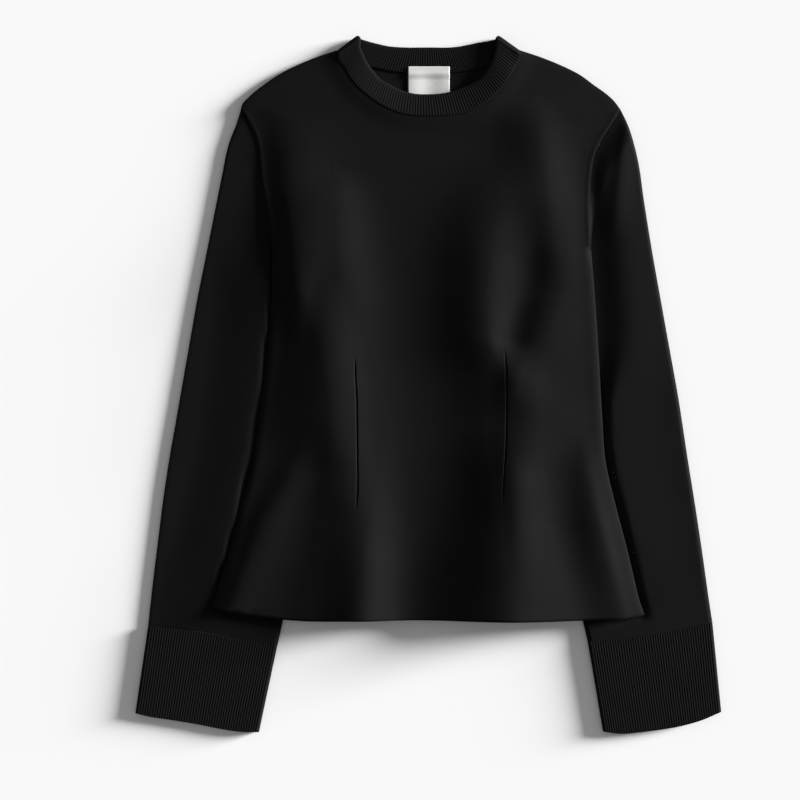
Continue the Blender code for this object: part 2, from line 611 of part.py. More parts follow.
def build_neckband(front_top, back_top):
    turns = [band_turn(front_neck_left[0], peak_left, 0), band_turn(front_neck_right[-1], peak_right, 1)]
    front_seam = neck_run(front_top, turns)
    back_seam = neck_run(back_top, turns)
    front_edge = np.concatenate([turns[0][1][None], smooth_line(band_front_edge), turns[1][1][None]])
    back_edge = np.concatenate([turns[0][1][None], smooth_line(band_back_edge), turns[1][1][None]])
    low = band_wall / 2
    high = low + 2 * band_turn_radius
    stations = []
    phase = 0
    seams, edges = band_run(front_seam, front_edge, 2 * band_front_ribs)
    shares = np.linspace(0.0, 1.0, len(seams))
    for seam, edge, share in zip(seams, edges, shares):
        corner = min(1.0, min(share, 1 - share) / band_corner_share)
        inward = (edge - seam) / np.hypot(*(edge - seam))
        seam_mid = front_height(np.array([seam[0]]), np.array([seam[1]]))[0] - wall / 2
        seam_mid = high + (seam_mid - high) * corner
        edge_mid = high + (band_edge_height - high) * ease(min(share, 1 - share) / band_middle_share)
        stations.append(band_profile(seam + inward * seam_gap, edge, seam_mid, edge_mid, (0, 0, 1), phase, (1, 1)))
        phase = 1 - phase
    for side in (1, 0):
        start, peak, out = turns[side]
        inward = (peak - start) / np.hypot(*(peak - start))
        steps = 2 * band_turn_ribs
        for k in range(1, steps):
            angle = np.pi / 2 - np.pi * k / steps
            if side == 0:
                angle = -angle
            across = (out[0] * np.cos(angle), out[1] * np.cos(angle), np.sin(angle))
            shift = out * band_turn_radius * np.cos(angle)
            mid = low + band_turn_radius * (1 + np.sin(angle))
            stations.append(band_profile(start + inward * seam_gap + shift, peak + shift, mid, mid, across, phase,
                                         (1, 1)))
            phase = 1 - phase
        if side == 0:
            break
        seams, edges = band_run(back_seam, back_edge, 2 * band_back_ribs)
        for seam, edge in zip(seams[::-1], edges[::-1]):
            inward = (edge - seam) / np.hypot(*(edge - seam))
            stations.append(band_profile(seam + inward * seam_gap, edge, low, low, (0, 0, -1), phase, (0, 1)))
            phase = 1 - phase
    ring = np.array(stations)
    ring[..., 2] = np.maximum(ring[..., 2], 0.0)
    ring = np.concatenate([ring, ring[:1]])
    ring = np.concatenate([ring, ring[:, :1]], axis=1)
    band = grid_mesh(to_frame(ring))
    finish("neckband", band, material("neckband", rib_black, 0.9))


def build_label():
    x, y = np.meshgrid(np.linspace(label_left, label_right, 9), np.linspace(label_top + label_length, label_top, 8))
    on_band = ease((label_step - y) / label_step_run)
    height = wall + (band_wall + rib_height / 2 - wall) * on_band + label_clearance
    sheet = grid_mesh(to_frame(np.dstack([x, y, height + label_wall])))
    thicken(sheet, label_wall, lambda mesh: sum(face.normal.z for face in mesh.faces))
    finish("label", sheet, material("label", label_white, 0.5))


def build_all():
    for piece in list(bpy.data.objects):
        bpy.data.objects.remove(piece, do_unlink=True)
    front_top, back_top = build_panels()
    build_neckband(front_top, back_top)
    build_label()
    build_sleeve("sleeve_left", 0, sleeve_outer_left, sleeve_inner_left, cuff_seam_left)
    build_sleeve("sleeve_right", 1, sleeve_outer_right, sleeve_inner_right, cuff_seam_right)
    build_cuff("cuff_left", cuff_outer_left, cuff_inner_left, cuff_seam_left, cuff_end_left)
    build_cuff("cuff_right", cuff_outer_right, cuff_inner_right, cuff_seam_right, cuff_end_right)


build_all()
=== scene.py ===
import math

import bmesh
import bpy
import numpy as np
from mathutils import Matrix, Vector


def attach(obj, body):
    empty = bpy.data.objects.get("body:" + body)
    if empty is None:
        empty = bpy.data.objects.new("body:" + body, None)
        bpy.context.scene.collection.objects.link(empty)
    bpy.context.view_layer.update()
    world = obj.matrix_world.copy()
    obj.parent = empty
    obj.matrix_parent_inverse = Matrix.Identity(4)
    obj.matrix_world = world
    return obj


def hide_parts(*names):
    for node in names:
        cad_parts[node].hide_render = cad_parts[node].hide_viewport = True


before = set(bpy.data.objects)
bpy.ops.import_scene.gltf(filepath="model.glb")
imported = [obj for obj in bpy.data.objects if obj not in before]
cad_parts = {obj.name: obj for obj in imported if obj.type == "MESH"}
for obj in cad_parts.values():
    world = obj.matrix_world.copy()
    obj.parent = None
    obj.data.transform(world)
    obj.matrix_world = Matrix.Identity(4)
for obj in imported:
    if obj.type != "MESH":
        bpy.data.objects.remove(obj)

# The garment's sizes in millimetres; plan points run right and down on a square 800 mm wide
sizes = {
    "centreX": 428.3,
    "centreY": 384.86,
    "wall": 1.6,
    "cuffWall": 2.0,
    "bandWall": 3.0,
    "labelWall": 0.7,
    "layerGap": 0.4,
    "seamGap": 0.12,
    "sideRoll": 8.0,
    "foldRoll": 5.0,
    "shoulderRoll": 10.0,
    "halfRoll": 3.5,
    "shoulderSeam": 4.65,
    "edgeLift": 2.2,
    "crown": 3.0,
    "crownReach": 30.0,
    "neckLift": 1.6,
    "neckLiftReach": 12.0,
    "sleeveUnder": 3.8,
    "sleeveBeside": [8.8, 9.0],
    "armholeBeside": 4.4,
    "underarmEnd": 420.0,
    "underarmRun": 100.0,
    "cuffRampTop": 620.0,
    "cuffRampRun": 90.0,
    "outerFoldMid": 3.2,
    "innerFoldMid": 2.0,
    "liftHeight": 4.6,
    "liftStart": 12.0,
    "liftRamp": 50.0,
    "liftTop": 240.0,
    "liftRun": 32.0,
    "frontLiftTop": 150.0,
    "frontLiftRun": 122.0,
    "ribPitch": 2.5,
    "ribHeight": 0.27,
    "cuffRibs": 48,
    "cuffRibHeight": 0.33,
    "cuffRoll": 3.0,
    "cuffHeight": 6.6,
    "dartHalf": 1.0,
    "dartDepth": 1.9,
    "ridgeHeight": 0.25,

    "ridgeAt": 2.6,
    "ridgeReach": 1.8,
    "grooveDepth": 0.6,
    "grooveReach": 1.2,
    "labelLeft": 408.2,
    "labelRight": 449.6,
    "labelTop": 66.5,
    "labelLength": 34.0,
    "labelClearance": 0.35,
    "hemBackRise": 1.5,
    "neckCorner": 6.0,
    "pitShare": 0.68,
    "hemShare": 0.25,
    "bandTurnRadius": 3.15,
    "bandTuck": 3.0,
    "sleeveTuck": 0.5,
    "bandFrontRibs": 82,
    "bandBackRibs": 66,
    "bandTurnRibs": 4,
    "bandEdgeHeight": 6.4,
    "bandEdgeRound": 0.1,
}
# Outline of the body, x and y
sideLeft = [(211, 606), (214, 600), (222, 575), (230, 550), (243, 500), (251, 470), (259, 420),
             (266, 370), (270, 330), (272, 290), (272, 250)]
sideRight = [(644, 614.5), (639, 600), (633, 575), (627, 550), (614, 500), (605, 460), (602, 420),
              (598, 350), (594, 290), (592, 265), (591, 250)]
armholeLeft = [(272, 250), (270, 225), (265, 200), (261, 180), (259, 160), (256, 140), (250.5, 127),
                (245, 117.5), (240.5, 111)]
armholeRight = [(591, 250), (590, 220), (590, 195), (592, 170), (595, 155), (601, 142), (609, 129),
                 (616, 118), (620.7, 110)]
shoulderLeft = [(240.5, 111), (242, 105), (250, 96), (265, 84), (280, 74), (300, 64), (320, 56), (338, 50)]
shoulderRight = [(519, 50), (540, 57), (560, 65), (580, 75), (595, 86), (605, 93), (613, 100), (620.7, 110)]
hem = [(211, 606), (222, 610), (240, 614), (260, 616), (280, 618.5), (300, 620), (360, 619.7), (440, 619.5),
       (480, 620), (560, 620), (600, 619), (620, 618.5), (635, 616), (644, 614.5)]
frontNeckLeft = [(338, 50), (340, 60), (345, 70), (352, 81), (360, 90), (370, 98), (380, 105), (390, 110),
                   (400, 114), (414, 116.5), (430, 117)]
frontNeckRight = [(430, 117), (450, 116), (470, 112), (480, 107), (490, 100), (500, 90), (508, 80),
                    (514, 70), (518, 60), (519, 50)]
backNeckLeft = [(338, 50), (342.5, 56), (351, 61.5), (362, 65), (374, 67.5), (390, 71), (410, 73), (430, 73.5)]
backNeckRight = [(430, 73.5), (450, 73), (470, 70.5), (486, 67.5), (498, 64.5), (508, 60.5),
                   (515, 56), (519, 50)]

# Lines down the front that its darts and largest folds follow, x and y
guideLeft = [(356, 620), (356, 560), (356, 507), (358, 480), (357.5, 440), (357, 400), (355.5, 372),
              (352, 350), (340, 310), (334, 260), (331, 200), (328, 140), (330, 95), (338, 50)]
guideMiddle = [(431, 620), (431, 500), (429, 360), (427, 270), (428, 200), (430, 117)]
guideRight = [(503, 620), (502.5, 560), (502, 500), (505, 460), (506.5, 420), (506, 380), (504, 352),
               (494, 320), (486, 280), (485, 220), (492, 175), (508, 130), (520, 90), (519, 50)]

# Share of the way from hem to shoulder, and the y of each of the five lines down the body there
levelRows = [
    (0.00, 606.0, 619.8, 619.5, 620.0, 614.5),
    (0.25, 492.0, 503.0, 503.0, 500.0, 492.0),
    (0.50, 345.0, 357.0, 355.0, 352.0, 345.0),
    (0.68, 250.0, 262.0, 275.0, 262.0, 250.0),
]
lowerShares = [0.0, 0.05, 0.1, 0.15, 0.2, 0.25, 0.3, 0.35, 0.4, 0.46, 0.52, 0.58, 0.63, 0.655]
backShares = [0.0, 0.1, 0.2, 0.3, 0.4, 0.52, 0.58, 0.63, 0.655]
armholeSteps = [0.0, 0.67, 2.5, 5.0, 9.0, 14.0, 20.0, 28.0, 42.0, 60.0, 82.0, 106.0]
pitSteps = [5.0, 2.5, 0.67, 0.0]

# Folds of the front: y, x, height, reach to the left, reach to the right
frontFolds = [
    [(170, 336, 0, 24, 20), (200, 335, 5, 34, 25), (250, 336, 8.5, 40, 30), (300, 339, 8.5, 38, 34),
     (340, 339, 8, 38, 36), (380, 338, 8, 44, 42), (420, 342, 7.5, 48, 46), (470, 358, 7.5, 34, 31),
     (520, 363, 11, 34, 29), (560, 362, 14, 38, 31), (600, 361, 15.5, 41, 33), (622, 361, 17, 43, 34)],
    [(150, 500, 0, 30, 26), (200, 496, 6, 46, 34), (250, 487, 9.6, 42, 32), (300, 484, 10.4, 39, 29),
     (340, 486, 11, 40, 23), (375, 500, 9, 44, 30), (420, 506, 7.5, 46, 54), (470, 509, 12.5, 41, 28),
     (520, 511, 14.8, 48, 30), (560, 511, 18.5, 60, 38), (600, 511, 20.5, 69, 46), (622, 511, 21.5, 73, 48)],
    [(240, 560, 0, 20, 18), (265, 555, 0.9, 22, 24), (300, 547, 2.6, 22, 30), (340, 534, 3.8, 20, 34),
     (380, 518, 3.4, 17, 38), (410, 510, 0, 16, 40)],
    [(115, 288, 0, 22, 40), (150, 291, 2.6, 24, 40), (200, 293, 4, 25, 38), (250, 296, 4, 22, 30),
     (290, 297, 3, 18, 14), (330, 297, 1.2, 15, 12), (350, 296, 0, 14, 12)],
    [(95, 528, 0, 34, 20), (125, 536, 4, 34, 22), (160, 540, 6, 34, 22), (205, 545, 6, 30, 24),
     (250, 550, 4, 26, 22), (290, 552, 0, 20, 20)],
    [(430, 308, 0, 12, 14), (480, 290, 2, 14, 20), (520, 266, 3, 18, 24), (570, 244, 3, 18, 26),
     (612, 228, 3, 18, 24)],
    [(430, 588, 0, 14, 12), (470, 590, 3, 18, 14), (520, 598, 5, 22, 16), (560, 608, 5, 26, 16),
     (600, 618, 3.5, 26, 16), (620, 624, 3, 26, 16)],
]
# Darts: y, x, share of the full depth
dartLeft = [(357, 355, 0), (372, 355.5, 0.9), (400, 357, 1), (440, 357.5, 1), (480, 358, 0.9), (500, 357, 0.5),
             (507, 356, 0)]
dartRight = [(350, 504, 0), (366, 505.5, 0.9), (400, 506.2, 1), (440, 505.8, 1), (475, 503.5, 0.9),
              (492, 502.2, 0.5), (500, 502, 0)]
# Sleeves beside the body, left and right: reach of the rise, share of it lost outwards, run of that, added underarm reach
sleevePuffs = [(1.6, 1.0, 60.0, 0.0), (3.6, 0.25, 60.0, 18.0)]
# Folds of the sleeves, in the same columns as those of the front
sleeveFolds = [

    [(115, 626, 0, 6, 8), (140, 624, 1.6, 7, 9), (180, 620, 1.8, 8, 12), (220, 616, 0.8, 8, 12), (245, 612, 0, 8, 12)],
]

# Sleeves: outer edge from the cuff to the shoulder tip, and the hidden edge from the cuff to the armpit
sleeveOuterLeft = [(148, 626), (153, 580), (158, 540), (163, 500), (169, 460), (176, 420), (183, 380),
                     (190, 340), (197, 300), (205, 260), (213, 220), (221, 180), (230, 140), (236, 125), (240.5, 111)]
sleeveInnerLeft = [(277.8, 643.5), (283, 620), (290, 590), (301, 540), (311, 480), (316, 430), (313, 385),
                     (302, 340), (289, 304), (280, 285), (276, 272), (274, 262), (272, 250)]
sleeveOuterRight = [(712.5, 622.5), (709, 600), (702, 550), (696, 510), (688, 460), (678, 395), (669, 345),
                      (660, 295), (652, 250), (644, 200), (638, 160), (633, 140), (628, 125), (620.7, 110)]
sleeveInnerRight = [(587.6, 641), (583, 621), (576, 590), (565, 540), (555, 480), (550, 430), (552, 385),
                      (562, 340), (574, 306), (583, 286), (588, 272), (589, 262), (591, 250)]
cuffSeamLeft = [(148, 626), (175, 628.5), (200, 631.5), (220, 635), (240, 639.5), (277.8, 643.5)]
cuffSeamRight = [(712.5, 622.5), (680, 630), (640, 636), (610, 639.5), (587.6, 641)]
cuffOuterLeft = [(135.3, 713), (138, 700), (140, 680), (142, 660), (145, 640), (148, 626)]
cuffInnerLeft = [(259, 732), (262, 710), (266, 695), (269, 680), (273, 665), (276.3, 650), (277.8, 643.5)]
cuffEndLeft = [(135.3, 713), (150, 716.5), (170, 719.5), (200, 724.5), (220, 728.5), (240, 731.5), (259, 732)]
cuffOuterRight = [(721.3, 711.5), (720, 700), (718, 680), (716, 660), (714, 640), (712.5, 622.5)]
cuffInnerRight = [(603, 731.5), (602, 720), (599, 700), (595, 680), (591, 660), (587.6, 641)]
cuffEndRight = [(721.3, 711.5), (700, 720.5), (680, 726), (660, 729.5), (640, 732), (620, 733.5), (603, 731.5)]
sleeveShares = [0.0, 0.08, 0.17, 0.26, 0.35, 0.44, 0.53, 0.62, 0.7, 0.78, 0.85, 0.91, 0.96, 1.0]

# Neckband: inner edges, and the peaks where it turns over at the shoulders
peakLeft = (358, 35)
peakRight = (498, 35)
bandFrontEdge = [(363, 41), (360.5, 48), (364, 56), (368, 64), (374, 72), (380, 79), (390, 85), (400, 90),
                   (412, 93.5), (430, 94.5), (448, 92.5), (460, 88.5), (470, 84), (480, 78), (488, 68), (493, 57),
                   (495.2, 48), (493, 41)]
bandBackEdge = [(363, 41), (370, 41.5), (380, 44), (390, 46), (400, 46.8), (430, 47), (450, 47), (460, 46),
                  (470, 44), (480, 42), (487, 41), (493, 41)]



def smoothLine(points, steps=16):
    knots = np.array(points, float)
    length = np.concatenate([[0.0], np.cumsum(np.hypot(*np.diff(knots, axis=0).T))])
    slope = np.gradient(knots, length, axis=0)
    pieces = []
    for i in range(len(knots) - 1):
        step = length[i + 1] - length[i]
        t = np.linspace(0.0, 1.0, steps, endpoint=False)[:, None]
        pieces.append((1 + 2 * t) * (1 - t) ** 2 * knots[i] + t * (1 - t) ** 2 * step * slope[i]
                      + t * t * (3 - 2 * t) * knots[i + 1] + t * t * (t - 1) * step * slope[i + 1])
    pieces.append(knots[-1:])
    return np.concatenate(pieces)


def runningLength(line):
    return np.concatenate([[0.0], np.cumsum(np.hypot(*np.diff(line, axis=0).T))])


def along(line, distance):
    length = runningLength(line)
    return np.stack([np.interp(distance, length, line[:, 0]), np.interp(distance, length, line[:, 1])], axis=-1)


def xAt(line, y):
    order = np.argsort(line[:, 1])
    return np.interp(y, line[order, 1], line[order, 0])


def yAt(line, x):
    order = np.argsort(line[:, 0])
    return np.interp(x, line[order, 0], line[order, 1])


def distanceTo(line, x, y):
    best = np.full(np.shape(x), 1e9)
    for a, b in zip(line[:-1], line[1:]):
        run = b - a
        t = np.clip(((x - a[0]) * run[0] + (y - a[1]) * run[1]) / (run @ run), 0.0, 1.0)
        best = np.minimum(best, np.hypot(x - a[0] - t * run[0], y - a[1] - t * run[1]))
    return best


def ease(t):
    t = np.clip(t, 0.0, 1.0)
    return t * t * (3 - 2 * t)


def turned(distance, reach):
    t = 1 - np.clip(distance / reach, 0.0, 1.0)
    return np.where(distance < 0.05, 0.0, np.sqrt(np.maximum(0.0, 1 - t * t)))


sideLines = [smoothLine(sideLeft), smoothLine(sideRight)]
armholeLines = [smoothLine(armholeLeft), smoothLine(armholeRight)]
shoulderLines = [smoothLine(shoulderLeft), smoothLine(shoulderRight)]
hemLine = smoothLine(hem)
guides = [smoothLine(guideLeft), smoothLine(guideMiddle), smoothLine(guideRight)]
hiddenLines = [smoothLine(sleeveInnerLeft), smoothLine(sleeveInnerRight)]
frontNeck = [smoothLine(frontNeckLeft), smoothLine(frontNeckRight)]
backNeck = [smoothLine(backNeckLeft), smoothLine(backNeckRight)]


def lift(x, y, top=sizes["liftTop"], run=sizes["liftRun"]):
    left = xAt(hiddenLines[0], y) + sizes["liftStart"] + sizes["liftRamp"]
    right = xAt(hiddenLines[1], y) - sizes["liftStart"] - sizes["liftRamp"]
    side = np.maximum(ease((left - x) / sizes["liftRamp"]), ease((x - right) / sizes["liftRamp"]))
    return sizes["liftHeight"] * side * ease((y - top) / run)


def foldHeight(folds, x, y):
    total = np.zeros(np.shape(x))
    for rows in folds:
        table = np.array(rows, float)
        at, height, left, right = [np.interp(y, table[:, 0], table[:, k]) for k in range(1, 5)]
        height = np.where((y < table[0, 0]) | (y > table[-1, 0]), 0.0, height)
        reach = np.where(x < at, left, right)
        total += height * np.exp(-((x - at) / reach) ** 2)
    return total


def dartDrop(x, y):
    total = np.zeros(np.shape(x))
    for rows in (dartLeft, dartRight):
        table = np.array(rows, float)
        at, share = [np.interp(y, table[:, 0], table[:, k]) for k in (1, 2)]
        total += sizes["dartDepth"] * share * np.maximum(0.0, 1 - np.abs(x - at) / sizes["dartHalf"]) ** 0.8
    return total


def seamHeight(x, y):
    shoulder = np.minimum(distanceTo(shoulderLines[0], x, y), distanceTo(shoulderLines[1], x, y))
    return sizes["halfRoll"] + lift(x, y) + (sizes["shoulderSeam"] - sizes["halfRoll"]) * np.exp(-(shoulder / 20.0) ** 2)


def bodyEdge(x, y, sideReach, shoulderReach):
    share = np.ones(np.shape(x))
    for line in sideLines:
        share = np.minimum(share, turned(distanceTo(line, x, y), sideReach))
    for line in shoulderLines:
        share = np.minimum(share, turned(distanceTo(line, x, y), shoulderReach))
    return share


def frontHeight(x, y):
    outline = np.full(np.shape(x), 1e9)
    for line in sideLines + armholeLines + shoulderLines:
        outline = np.minimum(outline, distanceTo(line, x, y))
    neck = np.minimum(distanceTo(frontNeck[0], x, y), distanceTo(frontNeck[1], x, y))
    top = lift(x, y, sizes["frontLiftTop"], sizes["frontLiftRun"]) + 2 * sizes["wall"] + sizes["layerGap"]
    top += sizes["edgeLift"] + sizes["crown"] * (1 - np.exp(-(outline / sizes["crownReach"]) ** 2))
    top += sizes["neckLift"] * np.exp(-(neck / sizes["neckLiftReach"]) ** 2)
    top += foldHeight(frontFolds, x, y) * ease(outline / 30.0 + 0.25) - dartDrop(x, y)
    armhole = np.minimum(distanceTo(armholeLines[0], x, y), distanceTo(armholeLines[1], x, y))
    top += sizes["ridgeHeight"] * np.exp(-((armhole - sizes["ridgeAt"]) / sizes["ridgeReach"]) ** 2)
    top -= sizes["grooveDepth"] * np.exp(-(armhole / sizes["grooveReach"]) ** 2)
    seam = seamHeight(x, y)
    share = bodyEdge(x, y, sizes["sideRoll"], sizes["shoulderRoll"])
    return np.maximum(seam + (top - seam) * share, seam + sizes["seamGap"] / 2)


def backHeight(x, y):
    seam = seamHeight(x, y)
    low = lift(x, y)
    share = bodyEdge(x, y, sizes["sideRoll"], sizes["foldRoll"])
    return np.minimum(seam - (seam - low) * share, seam - sizes["seamGap"] / 2)


def armholeDistances(line):
    length = runningLength(line)[-1]
    steps = np.array(armholeSteps)
    reach = length - pitSteps[0]
    count = int(np.sum(steps <= sizes["foldRoll"]))
    inner = steps[count:] * reach / (steps[-1] + 22.0 / panels["stepParts"])
    return np.concatenate([steps[:count], inner, length - np.array(pitSteps)])


def armholePoints(side):
    line = armholeLines[side][::-1]
    return along(line, armholeDistances(line))


def spread(width, start, end, count):
    inner = np.linspace(0.0, 1.0, count + 1)[None, :]
    first = np.repeat(np.array(start, float)[None, :], len(width), axis=0)
    last = width[:, None] - np.array(end, float)[None, :]
    middle = first[:, -1:] + (last[:, :1] - first[:, -1:]) * inner
    return np.concatenate([first[:, :-1], middle, last[:, 1:]], axis=1)


def panelPlan(shares, counts, starts, ends, neck, hemRise):
    tips = [armholePoints(0)[::-1], armholePoints(1)[::-1]]
    table = np.array(levelRows)
    shares = np.array(shares)
    lengths = armholeDistances(armholeLines[0][::-1])
    upper = sizes["pitShare"] + (1 - sizes["pitShare"]) * (1 - lengths[::-1] / lengths[-1])
    level = np.concatenate([shares, upper])
    tops = [tips[0][-1, 1], neck[0][0, 1], neck[0][-1, 1], neck[1][-1, 1], tips[1][-1, 1]]
    lines = [sideLines[0]] + guides + [sideLines[1]]
    corners = []
    for k in range(5):
        low = np.interp(shares, table[:, 0], table[:, k + 1])
        high = np.interp(upper, [sizes["pitShare"], 1.0], [table[-1, k + 1], tops[k]])
        line = lines[k]
        points = np.stack([xAt(line, np.concatenate([low, high])), np.concatenate([low, high])], axis=-1)
        if k in (0, 4):
            points[len(shares):] = tips[k // 4]
        corners.append(points)
    tipWeight = np.clip((level - sizes["pitShare"]) / (1 - sizes["pitShare"]), 0.0, 1.0)[:, None] ** 1.5
    hemWeight = np.clip(1 - level / sizes["hemShare"], 0.0, 1.0)[:, None] ** 2
    topLines = [shoulderLines[0], neck[0], neck[1], shoulderLines[1]]
    strips = []
    for k in range(4):
        a, b = corners[k], corners[k + 1]
        width = np.hypot(*(b - a).T)
        reach = spread(width, starts[k], ends[k], counts[k])
        share = (reach / width[:, None])[:, :, None]
        plan = a[:, None, :] * (1 - share) + b[:, None, :] * share
        flat = plan[-1]
        if k in (0, 3):
            top = np.stack([flat[:, 0], yAt(topLines[k], flat[:, 0])], axis=-1)
        else:
            top = along(topLines[k], share[-1, :, 0] * runningLength(topLines[k])[-1])
        plan = plan + tipWeight[:, :, None] * (top - flat)[None]
        low = plan[0]
        plan[:, :, 1] += hemWeight * (yAt(hemLine, low[:, 0]) - low[:, 1])[None]
        side = reach[0] if k == 0 else (reach[0][::-1] if k == 3 else np.full(reach.shape[1], 99.0))
        plan[:, :, 1] -= hemWeight * hemRise * ease(side / 40.0)[None]
        strips.append(plan if k == 3 else plan[:, :-1])
    return np.concatenate(strips, axis=1)


def toFrame(points):
    moved = np.array(points, float)
    moved[..., 0] -= sizes["centreX"]
    moved[..., 1] = sizes["centreY"] - moved[..., 1]
    return moved * 0.001


def finer(values, parts):
    # More steps between the listed ones
    place = np.linspace(0, len(values) - 1, (len(values) - 1) * parts + 1)
    return list(np.interp(place, np.arange(len(values)), values))


def rounding(reach, parts):
    # Distances from a rounded edge that share its quarter turn evenly
    return list(reach * (1 - np.cos(np.linspace(0, np.pi / 2, parts + 1))))


def gridMesh(points, uv):
    # Grid of quads on the points, with a UV map that follows the cloth, in metres
    rows, columns = points.shape[:2]
    mesh = bmesh.new()
    bmesh.ops.create_grid(mesh, x_segments=columns - 1, y_segments=rows - 1, size=1.0)
    layer = mesh.loops.layers.uv.new("UVMap")
    place = {v: (round((v.co.y + 1) * (rows - 1) / 2), round((v.co.x + 1) * (columns - 1) / 2)) for v in mesh.verts}
    for face in mesh.faces:
        for loop in face.loops:
            loop[layer].uv = uv[place[loop.vert]]
    for vertex, spot in place.items():
        vertex.co = points[spot]
    return mesh


def planUv(points, lean):
    # Plan position in metres, turned so that the knit rows cross the piece
    turn = math.radians(lean)
    across = points[..., 0] * math.cos(turn) + points[..., 1] * math.sin(turn)
    down = points[..., 1] * math.cos(turn) - points[..., 0] * math.sin(turn)
    return np.dstack([across, down])


def clothUv(points):
    # Running length across and along the cloth
    across = np.linalg.norm(np.diff(points, axis=1, prepend=points[:, :1]), axis=2).cumsum(axis=1)
    down = np.linalg.norm(np.diff(points, axis=0, prepend=points[:1]), axis=2).cumsum(axis=0)
    middle = down[:, down.shape[1] // 2][:, None] + 0 * down
    return np.dstack([across - across[:, across.shape[1] // 2][:, None], middle])


def finishPiece(name, mesh, surface, outward, body="root"):
    # Object from a bmesh whose faces look outwards
    bmesh.ops.remove_doubles(mesh, verts=mesh.verts, dist=1e-6)
    mesh.normal_update()
    if outward(mesh) < 0:
        bmesh.ops.reverse_faces(mesh, faces=mesh.faces)
    data = bpy.data.meshes.new(name)
    mesh.to_mesh(data)
    mesh.free()
    data.materials.append(surface)
    data.shade_smooth()
    piece = bpy.data.objects.new(name, data)
    bpy.context.scene.collection.objects.link(piece)
    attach(piece, body)
    return piece


def upward(mesh):
    return sum(face.normal.z * face.calc_area() for face in mesh.faces)


def downward(mesh):
    return -upward(mesh)


def upwardOnTop(mesh):
    high = max(face.calc_center_median().z for face in mesh.faces)
    return sum(face.normal.z for face in mesh.faces if face.calc_center_median().z > 0.8 * high)


class Maths:
    # A socket that Python's operators add Math nodes to
    def __init__(self, tree, socket):
        self.tree = tree
        self.socket = socket

    def node(self, kind, settings=None, outlet=0, **inputs):
        made = self.tree.nodes.new(kind)
        for key, value in (settings or {}).items():
            if key == "stops":
                ramp = made.color_ramp
                while len(ramp.elements) < len(value):
                    ramp.elements.new(0.5)
                for element, (position, colour) in zip(ramp.elements, value):
                    element.position = position
                    element.color = colour
            else:
                setattr(made, key, value)
        for key, value in inputs.items():
            target = made.inputs[int(key[1:])] if key[1:].isdigit() else made.inputs[key.replace("_", " ")]
            if isinstance(value, Maths):
                self.tree.links.new(value.socket, target)
            else:
                target.default_value = value
        return Maths(self.tree, made.outputs[outlet])

    def math(self, operation, *values):
        return self.node("ShaderNodeMath", {"operation": operation}, **{"i%d" % k: v for k, v in enumerate(values)})

    def __add__(self, other):
        return self.math("ADD", self, other)

    def __radd__(self, other):
        return self.math("ADD", other, self)

    def __sub__(self, other):
        return self.math("SUBTRACT", self, other)

    def __rsub__(self, other):
        return self.math("SUBTRACT", other, self)

    def __mul__(self, other):
        return self.math("MULTIPLY", self, other)

    def __rmul__(self, other):
        return self.math("MULTIPLY", other, self)

    def __truediv__(self, other):
        return self.math("DIVIDE", self, other)

    def __pow__(self, other):
        return self.math("POWER", self, other)

    def wave(self):
        # Smooth wave between 0 and 1
        return self.math("SINE", self) * 0.5 + 0.5

    def absolute(self):
        return self.math("ABSOLUTE", self)


def newMaterial(name):
    surface = bpy.data.materials.new(name)
    surface.use_nodes = True
    tree = surface.node_tree
    shader = tree.nodes["Principled BSDF"]
    return surface, Maths(tree, None), shader


def splitUv(start):
    uv = start.node("ShaderNodeUVMap", {"uv_map": "UVMap"})
    parts = start.node("ShaderNodeSeparateXYZ", None, i0=uv)
    return parts, Maths(start.tree, parts.socket.node.outputs[1]), uv


knit = {
    "colour": (0.0051, 0.0051, 0.0054, 1.0),
    "lighter": (0.0074, 0.0074, 0.0077, 1.0),
    "roughness": 0.8,
    "specular": 0.04,
    "sheen": 0.0,
    "rowPitch": 0.0021,
    "stitchPitch": 0.0013,
    "rowDepth": 0.00005,
    "stitchDepth": 0.000012,
    "fuzzDepth": 0.00005,
}
rib = {
    "colour": (0.0054, 0.0054, 0.0057, 1.0),
    "lighter": (0.0076, 0.0076, 0.0079, 1.0),
    "roughness": 0.85,
    "specular": 0.04,
    "sheen": 0.0,
    "stitchPitch": 0.0011,
    "stitchDepth": 0.00002,
    "fuzzDepth": 0.00003,
}
satin = {
    "colour": (0.62, 0.615, 0.605, 1.0),
    "shade": (0.54, 0.535, 0.525, 1.0),
    "roughness": 0.42,
    "threadPitch": 0.00035,
    "threadDepth": 0.00002,
}


